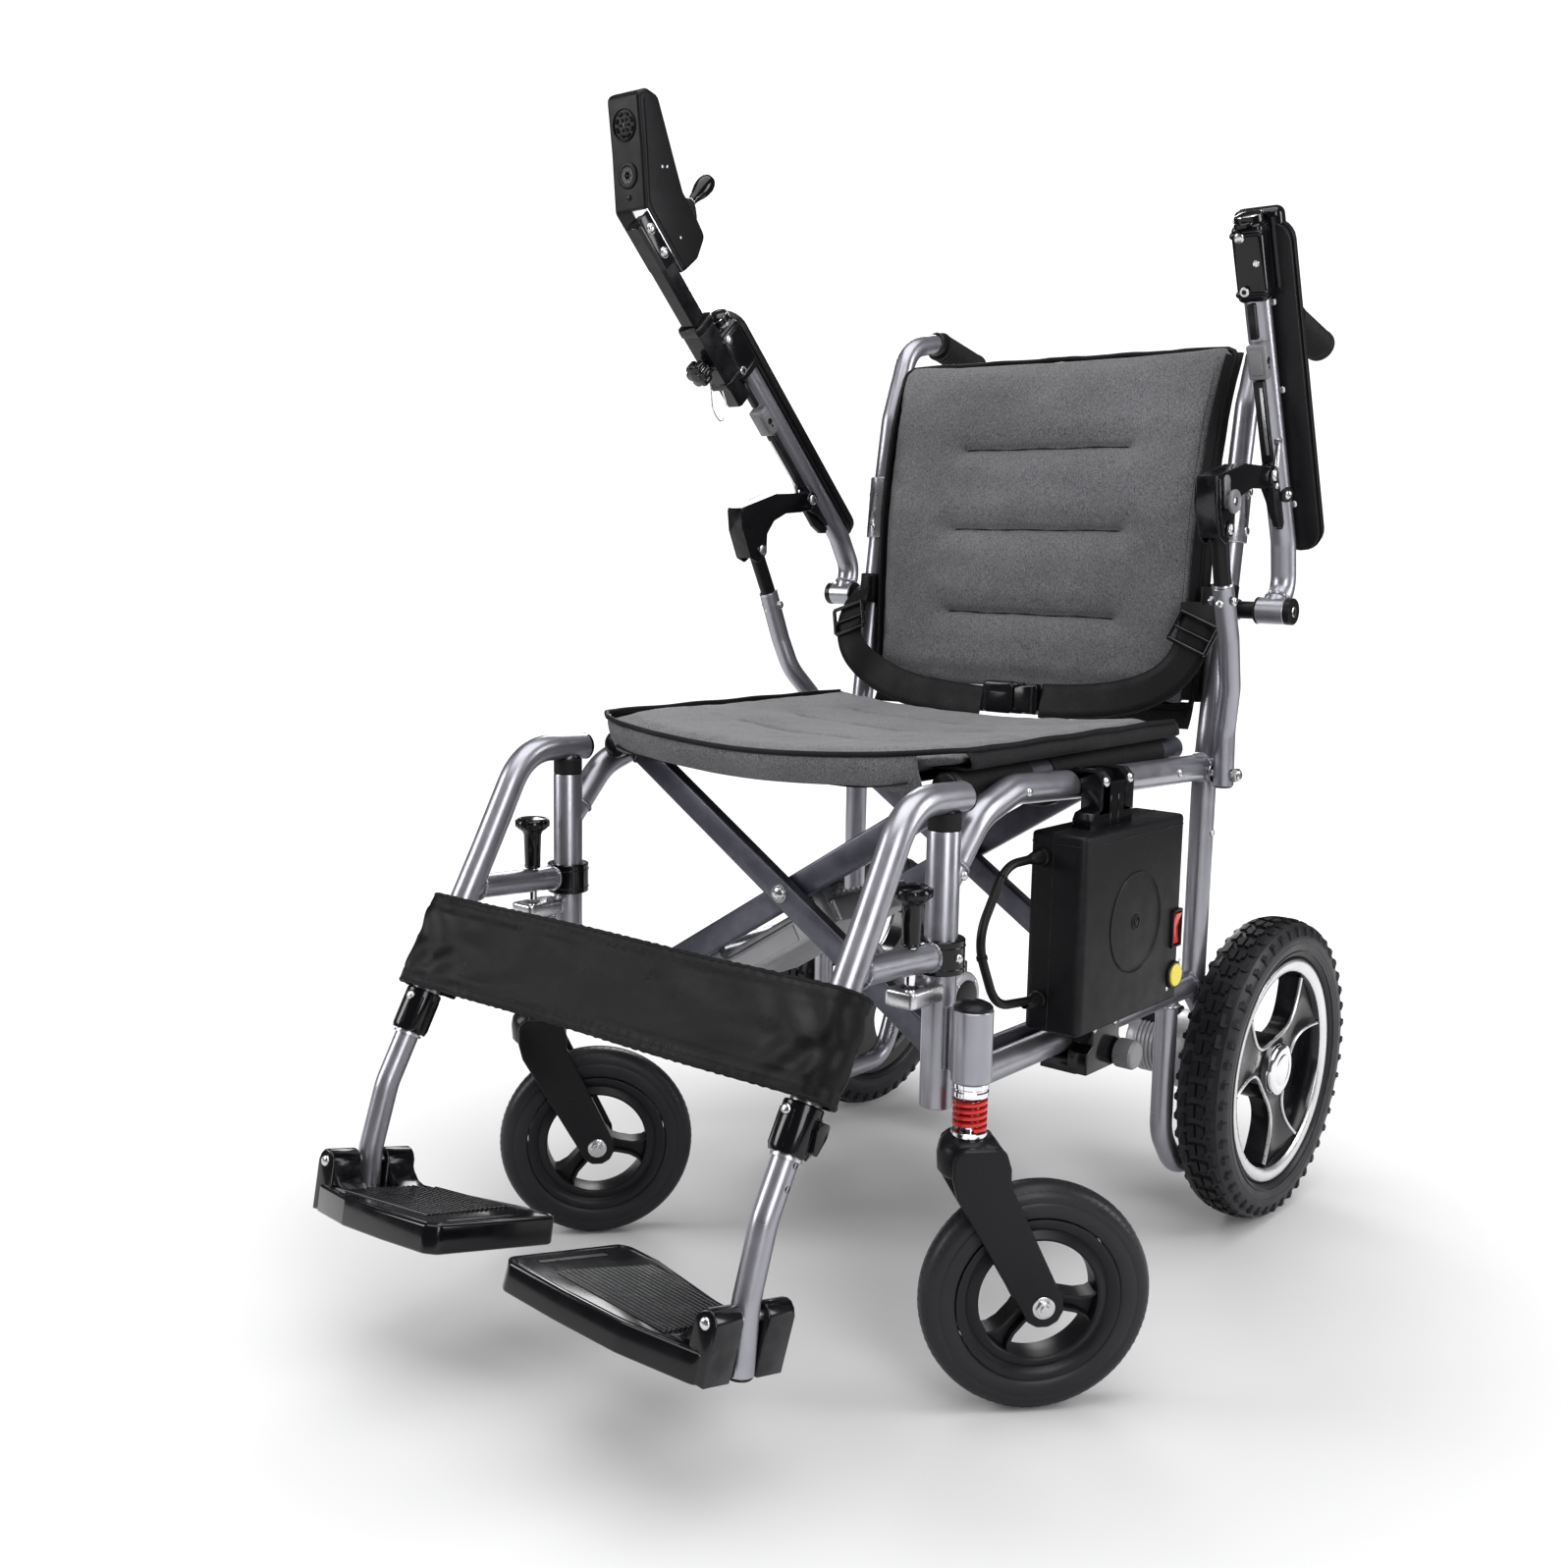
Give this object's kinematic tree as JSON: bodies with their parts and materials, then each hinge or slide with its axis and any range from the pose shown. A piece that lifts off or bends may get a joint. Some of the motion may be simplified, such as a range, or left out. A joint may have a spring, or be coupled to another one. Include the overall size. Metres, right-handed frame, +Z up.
{
  "type": "power wheelchair",
  "caption": "Folding power wheelchair on a scissor frame, with swing-away footrests, lift-up arms, sprung casters and a joystick on a sliding rod.",
  "frame": {"origin": "centre of the bounding box on the ground under the wheels", "axes": "+Z up, the chair faces -Y, the seated person's left side is at +X"},
  "size_m": [0.6946, 1.0518, 1.1793],
  "materials": {
    "frame_metal": "satin silver-grey metallic lacquer",
    "scissor_metal": "satin dark grey metallic lacquer",
    "grip_rubber": "matte",
    "motor_metal": "cast, bead blasted",
    "tyre_rubber": "moulded rubber",
    "rim_black": "satin",
    "bright_steel": "polished",
    "spring_red": "gloss powder coat",
    "satin_black": "fine matte texture",
    "gloss_black": "gloss",
    "pad_black": "moulded foam skin",
    "grey_plastic": "satin",
    "seat_fabric": "woven heather grey with black edging",
    "webbing": "woven black webbing",
    "strap_nylon": "black coated nylon",
    "switch_red": "gloss"
  },
  "bodies": {
    "frame_left": {"side_frame_left": "frame_metal", "push_grip_left": "grip_rubber", "drive_motor_left": "motor_metal", "battery_case": "satin_black", "battery_lead": "satin_black", "lap_belt_left": "webbing"},
    "frame_right": {"side_frame_right": "frame_metal", "push_grip_right": "grip_rubber", "drive_motor_right": "motor_metal", "lap_belt_right": "webbing"},
    "leg_a": {"cross_leg_a": "scissor_metal"},
    "leg_b": {"cross_leg_b": "scissor_metal", "control_unit": "motor_metal"},
    "seat_left": {"seat_cushion_left": "seat_fabric"},
    "seat_right": {"seat_cushion_right": "seat_fabric"},
    "back_left": {"back_cushion_left": "seat_fabric"},
    "back_right": {"back_cushion_right": "seat_fabric"},
    "buckle": {"belt_buckle": "gloss_black"},
    "power_switch": {"battery_switch": "switch_red"},
    "battery_latch": {"battery_latch_knob": "grey_plastic"},
    "caster_swivel_left": {"caster_stem_left": "bright_steel", "caster_spring_left": "spring_red"},
    "caster_fork_left": {"caster_fork_left": "satin_black"},
    "caster_wheel_left": {"caster_hub_left": "rim_black", "caster_tyre_left": "tyre_rubber"},
    "rear_wheel_left": {"rear_rim_left": "rim_black", "rear_tyre_left": "tyre_rubber"},
    "hanger_left": {"footrest_hanger_left": "frame_metal", "calf_strap": "strap_nylon"},
    "hanger_release_left": {"hanger_release_left": "gloss_black"},
    "leg_tube_left": {"leg_tube_left": "frame_metal"},
    "footplate_left": {"footplate_left": "gloss_black"},
    "arm_left": {"arm_tube_left": "frame_metal", "arm_pad_left": "pad_black", "arm_bracket_left": "gloss_black"},
    "arm_elbow_left": {"arm_elbow_left": "gloss_black"},
    "elbow_button_left": {"elbow_button_left": "grey_plastic"},
    "arm_support_left": {"arm_support_left": "frame_metal"},
    "caster_swivel_right": {"caster_stem_right": "bright_steel", "caster_spring_right": "spring_red"},
    "caster_fork_right": {"caster_fork_right": "satin_black"},
    "caster_wheel_right": {"caster_hub_right": "rim_black", "caster_tyre_right": "tyre_rubber"},
    "rear_wheel_right": {"rear_rim_right": "rim_black", "rear_tyre_right": "tyre_rubber"},
    "hanger_right": {"footrest_hanger_right": "frame_metal"},
    "hanger_release_right": {"hanger_release_right": "gloss_black"},
    "leg_tube_right": {"leg_tube_right": "frame_metal"},
    "footplate_right": {"footplate_right": "gloss_black"},
    "arm_right": {"arm_tube_right": "frame_metal", "arm_pad_right": "pad_black", "arm_bracket_right": "gloss_black"},
    "arm_elbow_right": {"arm_elbow_right": "gloss_black"},
    "elbow_button_right": {"elbow_button_right": "grey_plastic"},
    "arm_support_right": {"arm_support_right": "frame_metal"},
    "joystick": {"joystick_rod": "gloss_black", "joystick_box": "gloss_black"},
    "joystick_boot": {"joystick_boot": "grip_rubber"},
    "joystick_lever": {"joystick_lever": "gloss_black"},
    "rod_clamp_knob": {"rod_clamp_knob": "gloss_black"}
  },
  "joints": [
    {"name": "fold", "type": "hinge", "parent": "frame_left", "child": "leg_a", "pos_m": [0.16867, 0.0075, 0.268], "axis": [0, 1, 0], "range_deg": [0, 34], "deforming": ["seat_cushion_left", "seat_cushion_right", "back_cushion_left", "back_cushion_right", "lap_belt_left", "lap_belt_right", "calf_strap"]},
    {"name": "scissor_cross", "type": "hinge", "parent": "leg_a", "child": "leg_b", "pos_m": [-0.03133, 0.0195, 0.393], "axis": [0, 1, 0], "range_deg": [-68.5, 0.5]},
    {"name": "fold_far", "type": "hinge", "parent": "leg_b", "child": "frame_right", "pos_m": [-0.23133, 0.0075, 0.268], "axis": [0, 1, 0], "range_deg": [-0.5, 34.5]},
    {"name": "seat_outer_hinge", "type": "hinge", "parent": "leg_b", "child": "seat_left", "pos_m": [0.16867, 0.0075, 0.518], "axis": [0, 1, 0], "range_deg": [-0.5, 102]},
    {"name": "seat_centre_fold", "type": "hinge", "parent": "seat_left", "child": "seat_right", "pos_m": [-0.03133, 0.0075, 0.509], "axis": [0, 1, 0], "range_deg": [-135, 0.5]},
    {"name": "back_outer_hinge", "type": "hinge", "parent": "frame_left", "child": "back_left", "pos_m": [0.18267, 0.2735, 0.74], "axis": [0, -0.0506, -0.9987], "range_deg": [-0.5, 60]},
    {"name": "back_centre_fold", "type": "hinge", "parent": "back_left", "child": "back_right", "pos_m": [-0.03133, 0.2735, 0.74], "axis": [0, -0.0506, -0.9987], "range_deg": [-119, 0.5]},
    {"name": "buckle_shift", "type": "slide", "parent": "frame_left", "child": "buckle", "axis": [1, 0, 0], "range_m": [-0.001, 0.12]},
    {"name": "switch_rock", "type": "hinge", "parent": "frame_left", "child": "power_switch", "pos_m": [0.24367, 0.1165, 0.362], "axis": [0, 1, 0], "range_deg": [-8, 8]},
    {"name": "latch_pull", "type": "slide", "parent": "frame_left", "child": "battery_latch", "axis": [1, 0, 0], "range_m": [0, 0.006], "stiffness_N_per_m": 200, "springref_m": -0.008},
    {"name": "caster_turn_left", "type": "hinge", "parent": "frame_left", "child": "caster_swivel_left", "pos_m": [0.23477, -0.2112, 0.3], "axis": [0, 0, 1], "continuous": true},
    {"name": "caster_travel_left", "type": "slide", "parent": "caster_swivel_left", "child": "caster_fork_left", "axis": [0, 0, 1], "range_m": [0, 0.012], "stiffness_N_per_m": 9000, "springref_m": -0.02, "deforming": ["caster_spring_left"]},
    {"name": "caster_roll_left", "type": "hinge", "parent": "caster_fork_left", "child": "caster_wheel_left", "pos_m": [0.2753, -0.16587, 0.1], "axis": [0.7455, -0.6665, 0], "continuous": true},
    {"name": "rear_roll_left", "type": "hinge", "parent": "frame_left", "child": "rear_wheel_left", "pos_m": [0.23967, 0.3614, 0.1645], "axis": [1, 0, 0], "continuous": true},
    {"name": "hanger_swing_left", "type": "hinge", "parent": "frame_left", "child": "hanger_left", "pos_m": [0.19567, -0.204, 0.43], "axis": [0, 0, 1], "range_deg": [0, 90], "deforming": ["calf_strap"]},
    {"name": "release_pull_left", "type": "slide", "parent": "hanger_left", "child": "hanger_release_left", "axis": [0, 0, 1], "range_m": [0, 0.01], "stiffness_N_per_m": 300, "springref_m": -0.008},
    {"name": "leg_extend_left", "type": "slide", "parent": "hanger_left", "child": "leg_tube_left", "axis": [0, -0.4966, -0.868], "range_m": [0, 0.04]},
    {"name": "footplate_flip_left", "type": "hinge", "parent": "leg_tube_left", "child": "footplate_left", "pos_m": [0.19967, -0.447, 0.1565], "axis": [0, 0.9703, -0.2419], "range_deg": [-0.5, 83]},
    {"name": "arm_lower_left", "type": "hinge", "parent": "frame_left", "child": "arm_left", "pos_m": [0.24667, 0.3015, 0.661], "axis": [1, 0, 0], "range_deg": [0, 67]},
    {"name": "elbow_turn_left", "type": "hinge", "parent": "arm_left", "child": "arm_elbow_left", "pos_m": [0.24367, 0.26332, 0.79561], "axis": [1, 0, 0], "range_deg": [-69.66, 0.5]},
    {"name": "button_press_left", "type": "slide", "parent": "arm_elbow_left", "child": "elbow_button_left", "axis": [-1, 0, 0], "range_m": [0, 0.0016], "stiffness_N_per_m": 300, "springref_m": -0.004},
    {"name": "support_turn_left", "type": "hinge", "parent": "frame_left", "child": "arm_support_left", "pos_m": [0.22217, 0.2575, 0.495], "axis": [1, 0, 0], "range_deg": [-0.5, 33.89]},
    {"name": "caster_turn_right", "type": "hinge", "parent": "frame_right", "child": "caster_swivel_right", "pos_m": [-0.29743, -0.2112, 0.3], "axis": [0, 0, 1], "continuous": true},
    {"name": "caster_travel_right", "type": "slide", "parent": "caster_swivel_right", "child": "caster_fork_right", "axis": [0, 0, 1], "range_m": [0, 0.012], "stiffness_N_per_m": 9000, "springref_m": -0.02, "deforming": ["caster_spring_right"]},
    {"name": "caster_roll_right", "type": "hinge", "parent": "caster_fork_right", "child": "caster_wheel_right", "pos_m": [-0.2569, -0.16587, 0.1], "axis": [0.7455, -0.6665, 0], "continuous": true},
    {"name": "rear_roll_right", "type": "hinge", "parent": "frame_right", "child": "rear_wheel_right", "pos_m": [-0.30233, 0.3614, 0.1645], "axis": [1, 0, 0], "continuous": true},
    {"name": "hanger_swing_right", "type": "hinge", "parent": "frame_right", "child": "hanger_right", "pos_m": [-0.25833, -0.204, 0.43], "axis": [0, 0, -1], "range_deg": [0, 90], "deforming": ["calf_strap"]},
    {"name": "release_pull_right", "type": "slide", "parent": "hanger_right", "child": "hanger_release_right", "axis": [0, 0, 1], "range_m": [0, 0.01], "stiffness_N_per_m": 300, "springref_m": -0.008},
    {"name": "leg_extend_right", "type": "slide", "parent": "hanger_right", "child": "leg_tube_right", "axis": [0, -0.4966, -0.868], "range_m": [0, 0.04]},
    {"name": "footplate_flip_right", "type": "hinge", "parent": "leg_tube_right", "child": "footplate_right", "pos_m": [-0.26233, -0.447, 0.1565], "axis": [0, 0.9703, -0.2419], "range_deg": [-83, 0.5]},
    {"name": "arm_lower_right", "type": "hinge", "parent": "frame_right", "child": "arm_right", "pos_m": [-0.30933, 0.3015, 0.661], "axis": [1, 0, 0], "range_deg": [0, 46]},
    {"name": "elbow_turn_right", "type": "hinge", "parent": "arm_right", "child": "arm_elbow_right", "pos_m": [-0.30633, 0.21645, 0.7721], "axis": [1, 0, 0], "range_deg": [-50.91, 0.5]},
    {"name": "button_press_right", "type": "slide", "parent": "arm_elbow_right", "child": "elbow_button_right", "axis": [1, 0, 0], "range_m": [0, 0.0016], "stiffness_N_per_m": 300, "springref_m": -0.004},
    {"name": "support_turn_right", "type": "hinge", "parent": "frame_right", "child": "arm_support_right", "pos_m": [-0.28483, 0.2575, 0.495], "axis": [1, 0, 0], "range_deg": [-0.5, 23.13]},
    {"name": "rod_slide", "type": "slide", "parent": "arm_right", "child": "joystick", "axis": [0, -0.6947, 0.7193], "range_m": [-0.04, 0.05]},
    {"name": "clamp_turn", "type": "hinge", "parent": "arm_right", "child": "rod_clamp_knob", "pos_m": [-0.30933, 0.03843, 0.90463], "axis": [0, 0.7193, 0.6947], "continuous": true},
    {"name": "stick_fore_aft", "type": "hinge", "parent": "joystick", "child": "joystick_boot", "pos_m": [-0.32333, 0.02224, 1.07111], "axis": [1, 0, 0], "range_deg": [-18, 18], "stiffness_Nm_per_rad": 0.6, "deforming": ["joystick_boot"]},
    {"name": "stick_side", "type": "hinge", "parent": "joystick_boot", "child": "joystick_lever", "pos_m": [-0.32333, 0.02224, 1.07111], "axis": [0, -0.6947, 0.7193], "range_deg": [-18, 18], "stiffness_Nm_per_rad": 0.6}
  ],
  "couplings": [
    {"joint": "scissor_cross", "follows": "fold", "ratio": -2},
    {"joint": "fold_far", "follows": "fold", "ratio": 1},
    {"joint": "seat_outer_hinge", "follows": "fold", "ratio": 2.976},
    {"joint": "seat_centre_fold", "follows": "fold", "ratio": -3.953},
    {"joint": "back_outer_hinge", "follows": "fold", "ratio": 1.737},
    {"joint": "back_centre_fold", "follows": "fold", "ratio": -3.475},
    {"joint": "buckle_shift", "follows": "fold", "m_per_rad": 0.19},
    {"joint": "footplate_flip_left", "follows": "fold", "ratio": 2.4118},
    {"joint": "elbow_turn_left", "follows": "arm_lower_left", "ratio": -1.013},
    {"joint": "support_turn_left", "follows": "arm_lower_left", "ratio": 0.489},
    {"joint": "footplate_flip_right", "follows": "fold", "ratio": -2.4118},
    {"joint": "elbow_turn_right", "follows": "arm_lower_right", "ratio": -1.085},
    {"joint": "support_turn_right", "follows": "arm_lower_right", "ratio": 0.487}
  ]
}
